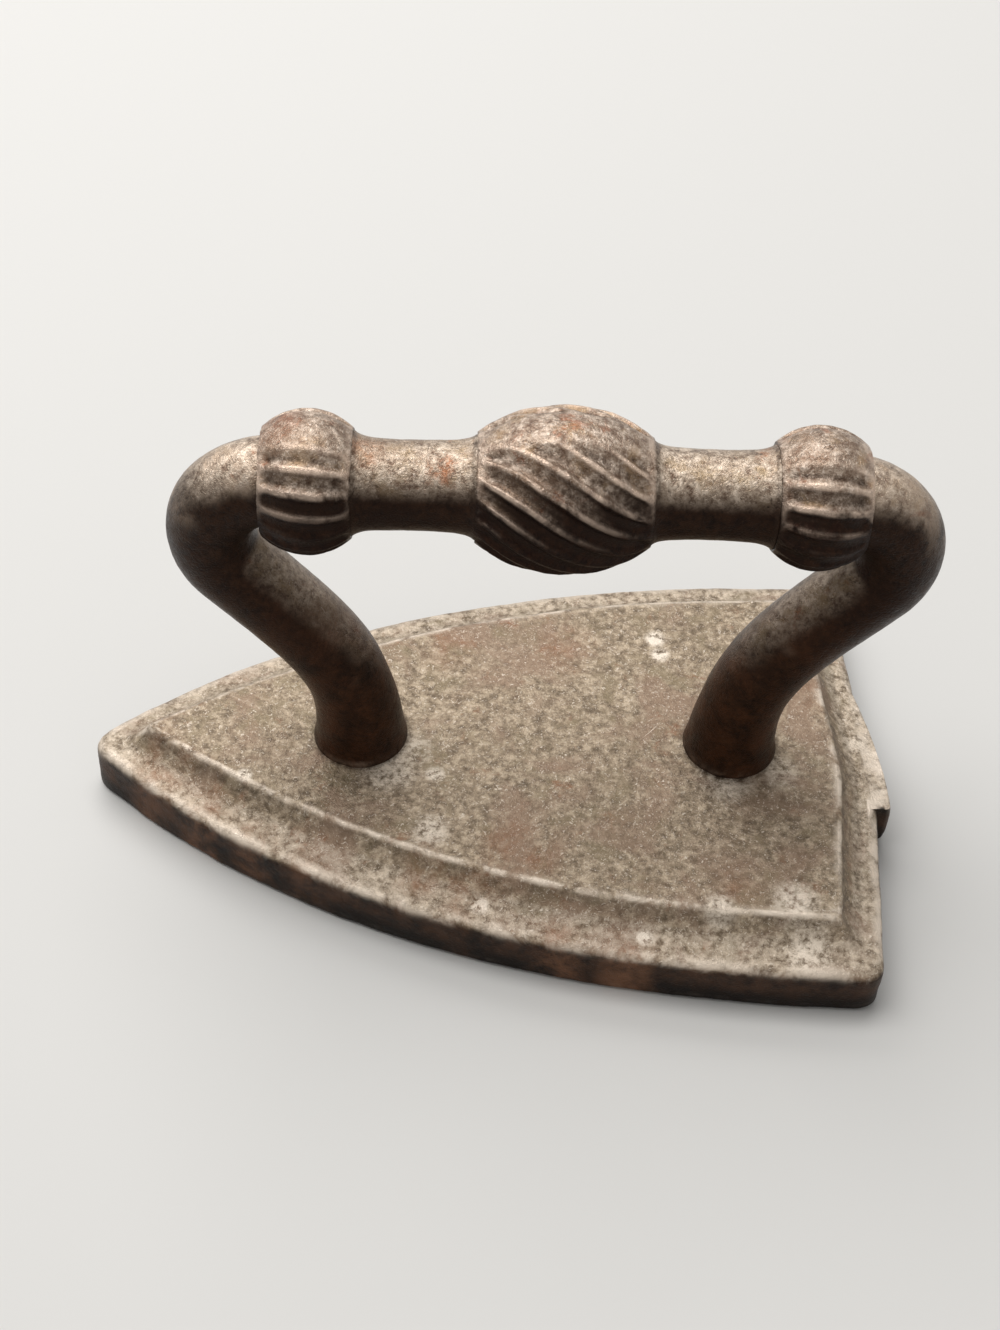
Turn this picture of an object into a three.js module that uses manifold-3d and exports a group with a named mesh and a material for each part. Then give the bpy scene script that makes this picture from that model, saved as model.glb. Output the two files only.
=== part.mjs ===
// Miniature sad iron: a cast sole plate that carries a built-up handle of two bent posts, a grip bar and
// three fluted knops. Millimetres, +Z up, nose towards -X, sole on z = 0 below the middle of the iron.
import * as THREE from "three";
import { mergeVertices } from "three/addons/utils/BufferGeometryUtils.js";
import Module from "manifold-3d";

const degrees = THREE.MathUtils.degToRad;

// Fits
const FIT_GAP = 0.3; // all round a piece that sits inside another
const CUT_OVERRUN = 1; // how far a cutting body runs past the face it cuts
const MERGE_TOLERANCE = 1e-4; // between corners that are one point

// Sole plate, in plan
const PLATE_LENGTH = 90.2; // nose to the heel corners
const PLATE_WIDTH = 61;
const NOSE_HALF_ANGLE = degrees(40.5); // between a side and the middle line, at the nose
const NOSE_ROUND = 2; // length of the rounded tip
const HEEL_CORNER_ROUND = 2.2;
const HEEL_POINT = 2; // how far the heel's point stands out past the corners
const HEEL_POINT_OFFSET = -4.5; // the point lies off the middle line
// Flange and raised panel
const SOLE_EDGE_ROUND = 0.5;
const FLANGE_HEIGHT = 6.3;
const FLANGE_EDGE_ROUND = 0.9;
const FLANGE_WIDTH = 5.6; // along the sides
const FLANGE_WIDTH_HEEL = 4.5;
const FLANGE_WIDTH_NOSE = 6.2;
const PANEL_RISE = 2.9; // panel above flange
const PANEL_NOSE_HALF_ANGLE = degrees(36);
const PANEL_NOSE_ROUND = 0.8;
const PANEL_CORNER_ROUND = 0.8;
const PANEL_EDGE_ROUND = 0.4;
const COVE_RUN = 2.4; // hollow curve up to the panel, across the flange
const COVE_RISE = 2.2; // and in height
// Gate stub, the rough lump left at the heel by the pour
const STUB_REACH = 1.4; // past the heel's point
const STUB_NEAR = 2.6; // from the point to its blunt end
const STUB_FAR = 19; // from the point to where it runs out
const STUB_DROP = 0.1; // its top below the flange
const STUB_FOOT = 0.8; // clear of the surface the iron stands on
const STUB_ROUND = 0.8; // of its blunt end, in plan

// Handle, lengths measured out from its middle
const HANDLE_SETBACK = 37.2; // from the heel corners forward to its middle
const GRIP_HEIGHT = 48.2; // axis of the grip bar above the sole
const BAR_RADIUS = 5;
const SPIGOT_RADIUS = 2.6;
const SPIGOT_LENGTH = 3.4;
const POST_RADIUS = 4.7;
const POST_BEND_RADIUS = 7;
const FRONT_BEND_INSET = 1.2; // the front post's bend starts this far inside its knop
const REAR_BEND_INSET = 2; // and the rear post's, which reaches out less
const POST_LEAN = degrees(40); // inward slope below the bend, from upright
const POST_EASE = 0.44; // how slowly the slope turns upright, as a share of the distance to the foot
const FOOT_SPACING = 43.2; // between the two post feet
const FOOT_FLARE = 0.7; // fillet round each foot
const TENON_RADIUS = 3.2;
const TENON_HEAD_RADIUS = 4.4; // peened end
const TENON_HEAD_HEIGHT = 1.6;
const TENON_RECESS = 0.3; // peened end above the sole face

// Knops
const KNOP_FLUTES = 18;
const KNOP_PLAIN_BAND = degrees(17); // unfluted to either side of the top and the bottom
const KNOP_FADE_BAND = degrees(14); // beyond it, where the flutes deepen
const KNOP_RIM = 0.45; // wall round the bore at a knop's ends
const FLUTE_RUNOUT = 1.6; // length over which the flutes rise out at a knop's ends
const CENTRE_KNOP_RADIUS = 8.85;
const CENTRE_KNOP_LENGTH = 17.2;
const CENTRE_FLUTE_DEPTH = 0.7;
const CENTRE_FLUTE_SLANT = degrees(33); // to the bar
const END_KNOP_SPACING = 52.8; // between the two end knops' middles
const END_KNOP_RADIUS = 7.65;
const END_KNOP_LENGTH = 9.4;
const END_FLUTE_DEPTH = 0.5;
const END_FLUTE_SLANT = degrees(5);

// Facets
const CURVE_STEPS = 14;
const ROUND_STEPS = 3;
const POST_SIDES = 18;
const POST_STEPS = 34;
const TURNED_SIDES = 28;
const FLUTE_SIDES = 4; // facets across one flute
const KNOP_RING_STEP = 1.3; // along a knop

// Worked out from the above
const PANEL_HEIGHT = FLANGE_HEIGHT + PANEL_RISE;
const STUB_TOP = FLANGE_HEIGHT - STUB_DROP;
const HANDLE_MIDDLE = PLATE_LENGTH - HANDLE_SETBACK;
const BORE_RADIUS = Math.max(BAR_RADIUS, POST_RADIUS) + FIT_GAP;
const KNOP_END_RADIUS = BORE_RADIUS + KNOP_RIM;
const KNOP_MIDDLE = END_KNOP_SPACING / 2;
const BAR_HALF_LENGTH = KNOP_MIDDLE - FIT_GAP / 2;
const POST_START = KNOP_MIDDLE + FIT_GAP / 2;
const KNOP_OUTER_END = KNOP_MIDDLE + END_KNOP_LENGTH / 2;
const HANDLE_REACH = KNOP_OUTER_END - REAR_BEND_INSET + POST_BEND_RADIUS + POST_RADIUS;
const HEEL_REACH = PLATE_LENGTH + HEEL_POINT + STUB_REACH;
const OVERALL_LENGTH = Math.max(HEEL_REACH, HANDLE_MIDDLE + HANDLE_REACH);

const wasm = await Module();
wasm.setup();

/** Turns a closed geometry into a solid that can be joined and cut. */
function toSolid(geometry) {
  const bare = geometry.clone();
  bare.deleteAttribute("normal");
  bare.deleteAttribute("uv");
  const merged = mergeVertices(bare, MERGE_TOLERANCE);
  const mesh = new wasm.Mesh({
    numProp: 3,
    vertProperties: new Float32Array(merged.attributes.position.array),
    triVerts: new Uint32Array(merged.index.array),
  });
  return new wasm.Manifold(mesh);
}

/** Turns a solid back into a flat-shaded geometry. */
function toGeometry(solid) {
  const { vertProperties, triVerts, numProp } = solid.getMesh();
  const indexed = new THREE.BufferGeometry();
  const data = new THREE.InterleavedBuffer(vertProperties, numProp);
  indexed.setAttribute("position", new THREE.InterleavedBufferAttribute(data, 3, 0));
  indexed.setIndex(new THREE.BufferAttribute(triVerts, 1));
  const geometry = indexed.toNonIndexed();
  geometry.computeVertexNormals();
  return geometry;
}

/** An upright round body from one height to another, of one radius or tapering. */
function uprightRound(lowRadius, highRadius, low, high) {
  const geometry = new THREE.CylinderGeometry(highRadius, lowRadius, high - low, TURNED_SIDES);
  geometry.rotateX(Math.PI / 2);
  geometry.translate(0, 0, (low + high) / 2);
  return geometry;
}

/** A round body along the grip bar's axis, from one station to another. */
function axialRound(radius, from, to) {
  const geometry = new THREE.CylinderGeometry(radius, radius, to - from, TURNED_SIDES);
  geometry.rotateZ(-Math.PI / 2);
  geometry.translate((from + to) / 2, 0, GRIP_HEIGHT);
  return geometry;
}

/** Plan outline of the plate or its panel: rounded nose, bowed sides, a low point off the heel's middle. */
function planOutline({ nose, noseHalfAngle, noseRound, halfWidth, heel, cornerRound }) {
  const tip = nose - noseRound / 2;
  const noseSide = noseRound * Math.tan(noseHalfAngle);
  const bow = tip + halfWidth / Math.tan(noseHalfAngle);
  const cornerIn = (HEEL_POINT * cornerRound) / (halfWidth - Math.abs(HEEL_POINT_OFFSET));
  const outline = new THREE.Shape();
  outline.moveTo(tip + noseRound, noseSide);
  outline.quadraticCurveTo(tip, 0, tip + noseRound, -noseSide);
  outline.quadraticCurveTo(bow, -halfWidth, heel - cornerRound, -halfWidth);
  outline.quadraticCurveTo(heel, -halfWidth, heel + cornerIn, cornerRound - halfWidth);
  outline.lineTo(heel + HEEL_POINT, HEEL_POINT_OFFSET);
  outline.lineTo(heel + cornerIn, halfWidth - cornerRound);
  outline.quadraticCurveTo(heel, halfWidth, heel - cornerRound, halfWidth);
  outline.quadraticCurveTo(bow, halfWidth, tip + noseRound, noseSide);
  return outline.getPoints(CURVE_STEPS).slice(0, -1);
}

/** Outline of the plate's wall. */
function wallOutline() {
  return planOutline({
    nose: 0,
    noseHalfAngle: NOSE_HALF_ANGLE,
    noseRound: NOSE_ROUND,
    halfWidth: PLATE_WIDTH / 2,
    heel: PLATE_LENGTH,
    cornerRound: HEEL_CORNER_ROUND,
  });
}

/** Outline of the raised panel. */
function panelOutline() {
  return planOutline({
    nose: FLANGE_WIDTH_NOSE,
    noseHalfAngle: PANEL_NOSE_HALF_ANGLE,
    noseRound: PANEL_NOSE_ROUND,
    halfWidth: PLATE_WIDTH / 2 - FLANGE_WIDTH,
    heel: PLATE_LENGTH - FLANGE_WIDTH_HEEL,
    cornerRound: PANEL_CORNER_ROUND,
  });
}

/** Section of the plate's edge as insets from the wall (x) and heights (y), from the sole up to the panel. */
function edgeSection() {
  const section = new THREE.Path();
  const edge = FLANGE_HEIGHT - FLANGE_EDGE_ROUND;
  const rim = PANEL_HEIGHT - PANEL_EDGE_ROUND;
  section.moveTo(SOLE_EDGE_ROUND, 0);
  section.quadraticCurveTo(0, 0, 0, SOLE_EDGE_ROUND);
  section.lineTo(0, edge);
  section.quadraticCurveTo(0, FLANGE_HEIGHT, FLANGE_EDGE_ROUND, FLANGE_HEIGHT);
  section.lineTo(FLANGE_WIDTH - COVE_RUN, FLANGE_HEIGHT);
  section.quadraticCurveTo(FLANGE_WIDTH, FLANGE_HEIGHT, FLANGE_WIDTH, FLANGE_HEIGHT + COVE_RISE);
  section.lineTo(FLANGE_WIDTH, rim);
  section.quadraticCurveTo(FLANGE_WIDTH, PANEL_HEIGHT, FLANGE_WIDTH + PANEL_EDGE_ROUND, PANEL_HEIGHT);
  return section.getPoints(ROUND_STEPS);
}

/** A closed body through rings of equally many points, from the lowest ring to the highest. */
function loft(rings) {
  const count = rings[0].length;
  const caps = [rings[0], rings.at(-1)].map((ring) => THREE.ShapeUtils.triangulateShape(ring, []));
  const top = (rings.length - 1) * count;
  const faces = [];
  for (const [a, b, c] of caps[0]) faces.push(a, c, b);
  for (const [a, b, c] of caps[1]) faces.push(top + a, top + b, top + c);
  for (let ring = 0; ring + 1 < rings.length; ring += 1) {
    for (let index = 0; index < count; index += 1) {
      const low = ring * count + index;
      const lowNext = ring * count + ((index + 1) % count);
      faces.push(low, lowNext, lowNext + count, low, lowNext + count, low + count);
    }
  }
  const geometry = new THREE.BufferGeometry();
  geometry.setFromPoints(rings.flat());
  geometry.setIndex(faces);
  return geometry;
}

/** The plate's body, its edge section carried round between the wall's outline and the panel's. */
function plateBody() {
  const wall = wallOutline();
  const panel = panelOutline();
  const rings = edgeSection().map(({ x: inset, y: height }) =>
    wall.map((point, index) => {
      const { x, y } = point.clone().lerp(panel[index], inset / FLANGE_WIDTH);
      return new THREE.Vector3(x, y, height);
    }),
  );
  return loft(rings);
}

/** The gate stub: blunt on one side of the heel's point, running out along the heel on the other. */
function gateStub() {
  const root = PLATE_LENGTH - HEEL_CORNER_ROUND;
  const near = HEEL_POINT_OFFSET - STUB_NEAR;
  const far = HEEL_POINT_OFFSET + STUB_FAR;
  const outline = new THREE.Shape();
  outline.moveTo(root, near);
  outline.lineTo(HEEL_REACH - STUB_ROUND, near);
  outline.quadraticCurveTo(HEEL_REACH, near, HEEL_REACH, near + STUB_ROUND);
  outline.quadraticCurveTo(HEEL_REACH, (near + far) / 2, PLATE_LENGTH, far);
  outline.lineTo(root, far);
  const geometry = new THREE.ExtrudeGeometry(outline, {
    depth: STUB_TOP - STUB_FOOT,
    bevelEnabled: false,
    curveSegments: CURVE_STEPS / 2,
  });
  geometry.translate(0, 0, STUB_FOOT);
  return geometry;
}

/** The sole plate: flange, cove, panel and gate stub, with the posts' countersunk holes cut through. */
function solePlate() {
  const holeRadius = TENON_RADIUS + FIT_GAP;
  const headTop = TENON_RECESS + TENON_HEAD_HEIGHT;
  const headFlare = (TENON_HEAD_RADIUS - TENON_RADIUS) / TENON_HEAD_HEIGHT;
  const mouth = holeRadius + headFlare * (headTop + CUT_OVERRUN);
  let plate = toSolid(plateBody()).add(toSolid(gateStub()));
  for (const side of [-1, 1]) {
    const hole = toSolid(uprightRound(holeRadius, holeRadius, -CUT_OVERRUN, PANEL_HEIGHT + CUT_OVERRUN));
    const countersink = toSolid(uprightRound(mouth, holeRadius, -CUT_OVERRUN, headTop));
    const place = [HANDLE_MIDDLE + (side * FOOT_SPACING) / 2, 0, 0];
    plate = plate.subtract(hole.add(countersink).translate(place));
  }
  return toGeometry(plate);
}

/** Centre line of a post: out of the end knop, round the bend, inward, then upright into its foot's flare. */
function postLine(bendInset) {
  const bendStart = KNOP_OUTER_END - bendInset;
  const bendHeight = GRIP_HEIGHT - POST_BEND_RADIUS;
  const slopeStart = new THREE.Vector2(
    bendStart + POST_BEND_RADIUS * Math.cos(POST_LEAN),
    bendHeight - POST_BEND_RADIUS * Math.sin(POST_LEAN),
  );
  const foot = new THREE.Vector2(FOOT_SPACING / 2, PANEL_HEIGHT + FOOT_FLARE / 2);
  const ease = POST_EASE * slopeStart.distanceTo(foot);
  const line = new THREE.Path();
  line.moveTo(POST_START, GRIP_HEIGHT);
  line.lineTo(bendStart, GRIP_HEIGHT);
  line.absarc(bendStart, bendHeight, POST_BEND_RADIUS, Math.PI / 2, -POST_LEAN, true);
  line.bezierCurveTo(
    slopeStart.x - ease * Math.sin(POST_LEAN),
    slopeStart.y - ease * Math.cos(POST_LEAN),
    foot.x,
    foot.y + ease,
    foot.x,
    foot.y,
  );
  const points = line.getSpacedPoints(POST_STEPS).map(({ x, y }) => new THREE.Vector3(x, 0, y));
  return new THREE.CatmullRomCurve3(points);
}

/** A round rod that follows a post's centre line. */
function postRod(radius, bendInset) {
  const section = new THREE.Shape().absarc(0, 0, radius, 0, 2 * Math.PI, false);
  return new THREE.ExtrudeGeometry(section, {
    steps: POST_STEPS,
    curveSegments: POST_SIDES / 2,
    extrudePath: postLine(bendInset),
  });
}

/** Hollow fillet that widens a post's foot on the panel. */
function footFlare() {
  const profile = [new THREE.Vector2(0, 0)];
  for (let step = 0; step <= 2 * ROUND_STEPS; step += 1) {
    const turn = (Math.PI / 2) * (step / (2 * ROUND_STEPS));
    const out = POST_RADIUS + FOOT_FLARE * (1 - Math.sin(turn));
    profile.push(new THREE.Vector2(out, FOOT_FLARE * (1 - Math.cos(turn))));
  }
  profile.push(new THREE.Vector2(0, FOOT_FLARE));
  const geometry = new THREE.LatheGeometry(profile, TURNED_SIDES);
  geometry.rotateX(Math.PI / 2);
  geometry.translate(FOOT_SPACING / 2, 0, PANEL_HEIGHT);
  return geometry;
}

/** A post with its foot fillet, its peened tenon and the socket for the bar's spigot. */
function post(bendInset) {
  const headTop = TENON_RECESS + TENON_HEAD_HEIGHT;
  const tenon = uprightRound(TENON_RADIUS, TENON_RADIUS, TENON_RECESS, PANEL_HEIGHT + FOOT_FLARE);
  const head = uprightRound(TENON_HEAD_RADIUS, TENON_RADIUS, TENON_RECESS, headTop);
  const socketEnd = BAR_HALF_LENGTH + SPIGOT_LENGTH + FIT_GAP;
  const socket = axialRound(SPIGOT_RADIUS + FIT_GAP, POST_START - CUT_OVERRUN, socketEnd);
  const rivet = toSolid(tenon).add(toSolid(head)).translate([FOOT_SPACING / 2, 0, 0]);
  const rod = toSolid(postRod(POST_RADIUS, bendInset));
  return toGeometry(rod.add(toSolid(footFlare())).add(rivet).subtract(toSolid(socket)));
}

/** The grip bar with a spigot at each end. */
function gripBar() {
  const tip = BAR_HALF_LENGTH + SPIGOT_LENGTH;
  const bar = toSolid(axialRound(BAR_RADIUS, -BAR_HALF_LENGTH, BAR_HALF_LENGTH));
  return toGeometry(bar.add(toSolid(axialRound(SPIGOT_RADIUS, -tip, tip))));
}

/** How deep the flutes are at an angle round the bar and a distance from the knop's end, from 0 to 1. */
function fluteStrength(angle, fromEnd) {
  const offVertical = Math.PI / 2 - Math.abs(Math.asin(Math.sin(angle)));
  const round = THREE.MathUtils.smoothstep(offVertical, KNOP_PLAIN_BAND, KNOP_PLAIN_BAND + KNOP_FADE_BAND);
  return round * THREE.MathUtils.smoothstep(fromEnd, 0, FLUTE_RUNOUT);
}

/** A barrel-shaped knop on the bar's axis with slanting flutes, before it is bored. */
function flutedKnop(radius, length, fluteDepth, fluteSlant) {
  const half = length / 2;
  const ellipseHalf = half / Math.sqrt(1 - (KNOP_END_RADIUS / radius) ** 2);
  const rings = Math.ceil(length / KNOP_RING_STEP);
  const profile = [new THREE.Vector2(0, -half)];
  for (let ring = 0; ring <= rings; ring += 1) {
    const along = length * (ring / rings) - half;
    profile.push(new THREE.Vector2(radius * Math.sqrt(1 - (along / ellipseHalf) ** 2), along));
  }
  profile.push(new THREE.Vector2(0, half));
  const geometry = new THREE.LatheGeometry(profile, KNOP_FLUTES * FLUTE_SIDES);
  geometry.rotateZ(-Math.PI / 2);
  const points = geometry.attributes.position;
  const twist = Math.tan(fluteSlant) / radius;
  for (let index = 0; index < points.count; index += 1) {
    const point = new THREE.Vector3().fromBufferAttribute(points, index);
    const around = Math.atan2(point.z, point.y);
    const angle = around + twist * point.x;
    const hollow = fluteDepth * (0.5 + 0.5 * Math.cos(KNOP_FLUTES * around));
    const strength = fluteStrength(angle, half - Math.abs(point.x));
    const out = Math.hypot(point.y, point.z) - hollow * strength;
    points.setXYZ(index, point.x, out * Math.cos(angle), out * Math.sin(angle));
  }
  geometry.translate(0, 0, GRIP_HEIGHT);
  return geometry;
}

/** The centre knop, bored to slide on the bar. */
function centreKnop() {
  const body = flutedKnop(CENTRE_KNOP_RADIUS, CENTRE_KNOP_LENGTH, CENTRE_FLUTE_DEPTH, CENTRE_FLUTE_SLANT);
  const boreEnd = CENTRE_KNOP_LENGTH / 2 + CUT_OVERRUN;
  return toGeometry(toSolid(body).subtract(toSolid(axialRound(BORE_RADIUS, -boreEnd, boreEnd))));
}

/** An end knop, bored for the bar from one side and seated over the start of the post's bend on the other. */
function endKnop(bendInset) {
  const body = flutedKnop(END_KNOP_RADIUS, END_KNOP_LENGTH, END_FLUTE_DEPTH, END_FLUTE_SLANT);
  body.translate(KNOP_MIDDLE, 0, 0);
  const boreStart = KNOP_MIDDLE - END_KNOP_LENGTH / 2 - CUT_OVERRUN;
  const bore = axialRound(BORE_RADIUS, boreStart, KNOP_OUTER_END - bendInset);
  const seat = postRod(POST_RADIUS + FIT_GAP, bendInset);
  return toGeometry(toSolid(body).subtract(toSolid(bore)).subtract(toSolid(seat)));
}

const plateIron = new THREE.MeshStandardMaterial({ color: 0x8f7f6d, roughness: 0.62, metalness: 0.55 });
const handleIron = new THREE.MeshStandardMaterial({ color: 0x3d3027, roughness: 0.45, metalness: 0.75 });
const knopIron = new THREE.MeshStandardMaterial({ color: 0x5a4a3e, roughness: 0.42, metalness: 0.75 });

/** A named piece of the iron. */
function piece(name, geometry, material) {
  const mesh = new THREE.Mesh(geometry, material);
  mesh.name = name;
  return mesh;
}

/** One end of the handle: a post and its end knop, facing the heel until the group is turned. */
function handleEnd(name, bendInset, turn) {
  const end = new THREE.Group();
  end.add(piece(`${name}_post`, post(bendInset), handleIron.clone()));
  end.add(piece(`${name}_knop`, endKnop(bendInset), knopIron.clone()));
  end.rotation.z = turn;
  return end;
}

const handle = new THREE.Group();
handle.position.x = HANDLE_MIDDLE;
handle.add(handleEnd("front", FRONT_BEND_INSET, Math.PI), handleEnd("rear", REAR_BEND_INSET, 0));
handle.add(piece("grip_bar", gripBar(), handleIron.clone()));
handle.add(piece("centre_knop", centreKnop(), knopIron.clone()));

const iron = new THREE.Group();
iron.position.x = -OVERALL_LENGTH / 2;
iron.add(piece("sole_plate", solePlate(), plateIron), handle);

const part = new THREE.Group();
part.name = "miniature_sad_iron";
part.add(iron);

export default part;
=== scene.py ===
"""Looks of a miniature sad iron: aged cast iron, standing on a pale studio floor.

Lengths are in millimetres in the part's frame, as in its solids, and turn into metres where a mesh is made.
The nose points to -X, the heel to +X, and the sole lies on Z = 0.
"""
import logging
import math
from dataclasses import dataclass
from enum import Enum
from functools import partial

import bmesh
import bpy
import numpy as np
from mathutils import Matrix, Vector
from mathutils.bvhtree import BVHTree


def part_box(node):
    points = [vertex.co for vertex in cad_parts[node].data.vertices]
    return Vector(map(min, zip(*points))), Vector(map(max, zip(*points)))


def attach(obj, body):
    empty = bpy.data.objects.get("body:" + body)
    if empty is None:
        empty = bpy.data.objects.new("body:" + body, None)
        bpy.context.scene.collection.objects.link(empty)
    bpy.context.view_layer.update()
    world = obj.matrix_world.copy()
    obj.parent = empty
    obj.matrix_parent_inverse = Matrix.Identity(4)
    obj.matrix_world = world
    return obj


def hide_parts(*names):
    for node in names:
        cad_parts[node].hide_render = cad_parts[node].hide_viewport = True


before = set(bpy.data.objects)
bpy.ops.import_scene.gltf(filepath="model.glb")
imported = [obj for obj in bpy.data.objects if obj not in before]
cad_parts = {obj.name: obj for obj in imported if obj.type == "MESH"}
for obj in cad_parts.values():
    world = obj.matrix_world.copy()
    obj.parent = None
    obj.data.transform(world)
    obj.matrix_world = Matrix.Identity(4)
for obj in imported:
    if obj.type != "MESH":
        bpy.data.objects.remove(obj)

log = logging.getLogger("sad_iron")

MM = 0.001
IMAGE_HEIGHT = 1330
# Edges sharper than the angle stay sharp, and points nearer than the distance, in metres, become one.
SHARP_ANGLE, MERGE_DISTANCE = math.radians(48), 1e-7
# Run of a square shoulder along a rod.
SHOULDER = 0.02
# Where a spot of wear starts to fade and where it ends, as shares of its radius.
SPOT_CORE, SPOT_EDGE = 0.25, 1.25


class Mark(str, Enum):
    """Vertex attributes that tell a finish where a piece has aged and where shade and highlight are painted.
    """

    RUB = "rub"
    GRIME = "grime"
    UPWARD = "upward"
    STAIN = "stain"
    DUST = "dust"


class Slot(str, Enum):
    """Material slots of the record."""

    PLATE = "plate_iron"
    HANDLE = "handle_iron"
    KNOP = "knop_iron"


class End(Enum):
    """Which end of the handle a piece is at, as a sign along X."""

    FRONT = -1
    REAR = 1


# Small tools


def linear(code: str) -> tuple[float, float, float, float]:
    """Turns an sRGB hex colour into linear red, green, blue and alpha.

    Args:
        code: colour such as "#a08f7d".

    Returns:
        The four linear values.
    """
    parts = [int(code[i : i + 2], 16) / 255 for i in (1, 3, 5)]
    values = [p / 12.92 if p <= 0.04045 else ((p + 0.055) / 1.055) ** 2.4 for p in parts]
    return (values[0], values[1], values[2], 1.0)


def ease(low: float, high: float, value: np.ndarray) -> np.ndarray:
    """Rises smoothly from 0 at low to 1 at high."""
    share = np.clip((np.asarray(value, float) - low) / (high - low), 0, 1)
    return share * share * (3 - 2 * share)


def bezier(points: list[tuple[float, float]], count: int) -> np.ndarray:
    """Points on a Bezier curve of any degree, without its last one.

    Args:
        points: control points.
        count: how many points to give.

    Returns:
        An array of count rows.
    """
    share = np.linspace(0, 1, count, endpoint=False)[:, None]
    level = [np.repeat(np.array(p, float)[None, :], count, 0) for p in points]
    while len(level) > 1:
        level = [a * (1 - share) + b * share for a, b in zip(level, level[1:])]
    return level[0]


def chain(
    start: tuple[float, float], *legs: tuple[int | tuple[float, float], ...], closed: bool = False
) -> np.ndarray:
    """Points along Bezier legs, each of which goes on from the end of the one before.

    Args:
        start: where the first leg starts.
        legs: for each leg, how many points it gives and its control points after the first.
        closed: whether the last leg ends at the start, which is then not given again.

    Returns:
        Rows of the points' two coordinates.
    """
    rows = []
    for count, *controls in legs:
        rows.append(bezier([start, *controls], count))
        start = controls[-1]
    return np.concatenate(rows if closed else [*rows, [start]])


def raised(flat: np.ndarray, height: float) -> np.ndarray:
    """Puts rows of x, y at one height."""
    return np.column_stack([flat, np.full(len(flat), height)])


def tube_faces(rings: int, count: int, capped: bool) -> list[list[int]]:
    """Faces between closed rings of points that follow each other.

    Args:
        rings: how many rings there are.
        count: how many points each has.
        capped: whether the first and the last ring are filled by a face of their own.

    Returns:
        The point numbers of each face.
    """
    index = np.arange(rings * count).reshape(rings, count)
    turned = np.roll(index, -1, 1)
    faces = np.stack([index[:-1], turned[:-1], turned[1:], index[1:]], -1).reshape(-1, 4).tolist()
    return faces + ([index[0][::-1].tolist(), index[-1].tolist()] if capped else [])


def box_mm(node: str) -> tuple[np.ndarray, np.ndarray]:
    """Lowest and highest corner of one of the part's solids, in millimetres."""
    low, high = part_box(node)
    return np.array(low) / MM, np.array(high) / MM


def add_node(
    tree: bpy.types.NodeTree,
    kind: str,
    settings: dict[str, object] | None = None,
    inputs: dict[str | int, object] | None = None,
) -> bpy.types.Node:
    """Adds a node to a tree.

    Args:
        tree: tree that takes the node.
        kind: the node's type name.
        settings: the node's own properties.
        inputs: by socket identifier or place, a value or the socket to link from.

    Returns:
        The new node.
    """
    made = tree.nodes.new(kind)
    for name, value in (settings or {}).items():
        setattr(made, name, value)
    for key, value in (inputs or {}).items():
        named = {socket.identifier: socket for socket in made.inputs}
        socket = made.inputs[key] if isinstance(key, int) else named[key]
        if isinstance(value, bpy.types.NodeSocket):
            tree.links.new(value, socket)
        else:
            socket.default_value = value
    return made


# Geometry Nodes trees


class ShapeTree:
    """A Geometry Nodes tree with named inputs that shapes or roughens a piece."""

    def __init__(self, name: str, inputs: dict[str, str]) -> None:
        """Makes the tree with its inputs.

        Args:
            name: the tree's name.
            inputs: socket types by input name.
        """
        self.tree = bpy.data.node_groups.new(name, "GeometryNodeTree")
        self.add = partial(add_node, self.tree)
        face = self.tree.interface
        face.new_socket("Geometry", in_out="INPUT", socket_type="NodeSocketGeometry")
        face.new_socket("Geometry", in_out="OUTPUT", socket_type="NodeSocketGeometry")
        self.codes = {
            label: face.new_socket(label, in_out="INPUT", socket_type=kind).identifier
            for label, kind in {**inputs, "Material": "NodeSocketMaterial"}.items()
        }
        self.ins = self.tree.nodes.new("NodeGroupInput").outputs

    def close(self, geometry: bpy.types.NodeSocket) -> None:
        """Ends the tree: smooth faces, real geometry, the piece's material.

        Args:
            geometry: the shaped geometry.
        """
        smooth = self.add("GeometryNodeSetShadeSmooth", None, {"Geometry": geometry})
        real = self.add("GeometryNodeRealizeInstances", None, {"Geometry": smooth.outputs[0]})
        dress = {"Geometry": real.outputs[0], "Material": self.ins["Material"]}
        dressed = self.add("GeometryNodeSetMaterial", None, dress)
        self.add("NodeGroupOutput", None, {0: dressed.outputs[0]})

    def put_on(self, piece: bpy.types.Object, values: dict[str, object]) -> None:
        """Puts the tree on an object as a modifier.

        Args:
            piece: the object.
            values: the inputs by name.
        """
        modifier = piece.modifiers.new(self.tree.name, "NODES")
        modifier.node_group = self.tree
        for label, value in values.items():
            modifier[self.codes[label]] = value


def rod_tree() -> ShapeTree:
    """Round rod along a chain of edges, as thick as the chain's own radius at each point.

    Returns:
        The tree.
    """
    shape = ShapeTree("rod_along_path", {"Sides": "NodeSocketInt"})
    path = shape.add("GeometryNodeMeshToCurve", None, {"Mesh": shape.ins["Geometry"]})
    round_one = {"Resolution": shape.ins["Sides"], "Radius": 1.0}
    ring = shape.add("GeometryNodeCurvePrimitiveCircle", None, round_one)
    thick = shape.add("GeometryNodeInputNamedAttribute", {"data_type": "FLOAT"}, {"Name": "rod_radius"})
    swept = {"Curve": path.outputs[0], "Profile Curve": ring.outputs[0], "Scale": thick.outputs[0]}
    rod = shape.add("GeometryNodeCurveToMesh", None, {**swept, "Fill Caps": True})
    shape.close(rod.outputs[0])
    return shape


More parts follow.
